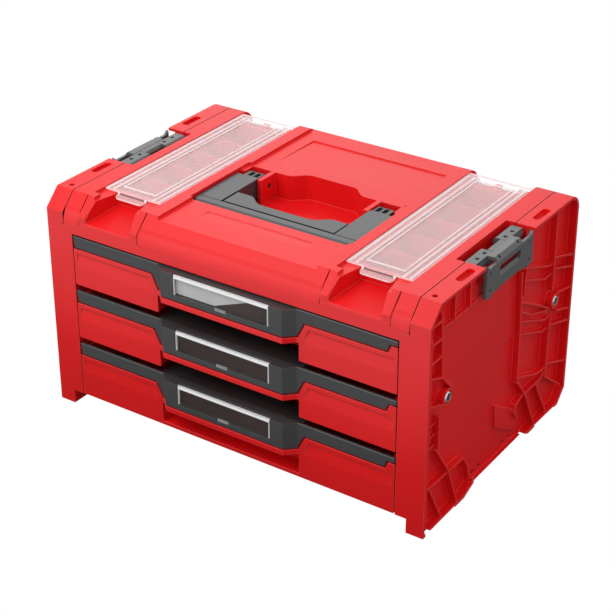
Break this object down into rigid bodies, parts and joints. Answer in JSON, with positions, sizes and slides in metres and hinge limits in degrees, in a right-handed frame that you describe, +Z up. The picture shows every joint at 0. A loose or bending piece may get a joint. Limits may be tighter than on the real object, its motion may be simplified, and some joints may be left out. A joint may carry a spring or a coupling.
{
  "type": "portable tool box with drawers",
  "caption": "Portable tool box with sliding drawers, label windows, clear-lidded organizers in the top, a folding handle and side latches.",
  "frame": {"origin": "middle of the space the box covers, on the surface that it stands on", "axes": "+X to the box's right, -Y out of the drawer fronts, +Z up"},
  "size_m": [0.45, 0.31, 0.245],
  "materials": {
    "red": "satin moulded",
    "dark": "satin moulded, fine grain",
    "clear": "clear moulded",
    "steel": "turned",
    "card": "matt"
  },
  "bodies": {
    "case": {"top_cover": "red", "end_panel_left": "red", "end_panel_right": "red", "side_wall_left": "red", "side_wall_right": "red", "back_panel": "red", "bottom_panel": "red", "end_screws": "steel", "organizer_tray_left": "red", "organizer_tray_right": "red", "tray_dividers_left": "red", "tray_dividers_right": "red", "lid_pins": "steel", "handle_pins": "steel", "latch_pins": "steel"},
    "handle": {"handle_frame": "dark", "handle_grip": "dark"},
    "lid_left": {"organizer_lid_left": "clear"},
    "lid_right": {"organizer_lid_right": "clear"},
    "side_latch_left": {"latch_left": "dark"},
    "side_latch_right": {"latch_right": "dark"},
    "drawer_box_1": {"drawer_1": "red", "drawer_trim_1": "dark", "drawer_dividers_1": "red", "label_card_1": "card"},
    "window_1": {"label_window_1": "clear"},
    "drawer_box_2": {"drawer_2": "red", "drawer_trim_2": "dark", "drawer_dividers_2": "red", "label_card_2": "card"},
    "window_2": {"label_window_2": "clear"},
    "drawer_box_3": {"drawer_3": "red", "drawer_trim_3": "dark", "drawer_dividers_3": "red", "label_card_3": "card"},
    "window_3": {"label_window_3": "clear"}
  },
  "joints": [
    {"name": "handle_swing", "type": "hinge", "parent": "case", "child": "handle", "pos_m": [0, 0.017, 0.231], "axis": [-1, 0, 0], "range_deg": [0, 90]},
    {"name": "lid_left_swing", "type": "hinge", "parent": "case", "child": "lid_left", "pos_m": [-0.1455, 0.1305, 0.238], "axis": [-1, 0, 0], "range_deg": [0, 105]},
    {"name": "lid_right_swing", "type": "hinge", "parent": "case", "child": "lid_right", "pos_m": [0.1455, 0.1305, 0.238], "axis": [-1, 0, 0], "range_deg": [0, 105]},
    {"name": "latch_left_swing", "type": "hinge", "parent": "case", "child": "side_latch_left", "pos_m": [-0.2075, 0.005, 0.237], "axis": [0, 1, 0], "range_deg": [0, 95]},
    {"name": "latch_right_swing", "type": "hinge", "parent": "case", "child": "side_latch_right", "pos_m": [0.2075, 0.005, 0.237], "axis": [0, -1, 0], "range_deg": [0, 95]},
    {"name": "drawer_1_slide", "type": "slide", "parent": "case", "child": "drawer_box_1", "axis": [0, -1, 0], "range_m": [0, 0.205]},
    {"name": "window_1_swing", "type": "hinge", "parent": "drawer_box_1", "child": "window_1", "pos_m": [0, -0.1527, 0.2012], "axis": [-1, 0, 0], "range_deg": [0, 90]},
    {"name": "drawer_2_slide", "type": "slide", "parent": "case", "child": "drawer_box_2", "axis": [0, -1, 0], "range_m": [0, 0.205]},
    {"name": "window_2_swing", "type": "hinge", "parent": "drawer_box_2", "child": "window_2", "pos_m": [0, -0.1527, 0.1386], "axis": [-1, 0, 0], "range_deg": [0, 90]},
    {"name": "drawer_3_slide", "type": "slide", "parent": "case", "child": "drawer_box_3", "axis": [0, -1, 0], "range_m": [0, 0.205]},
    {"name": "window_3_swing", "type": "hinge", "parent": "drawer_box_3", "child": "window_3", "pos_m": [0, -0.1527, 0.076], "axis": [-1, 0, 0], "range_deg": [0, 90]}
  ]
}
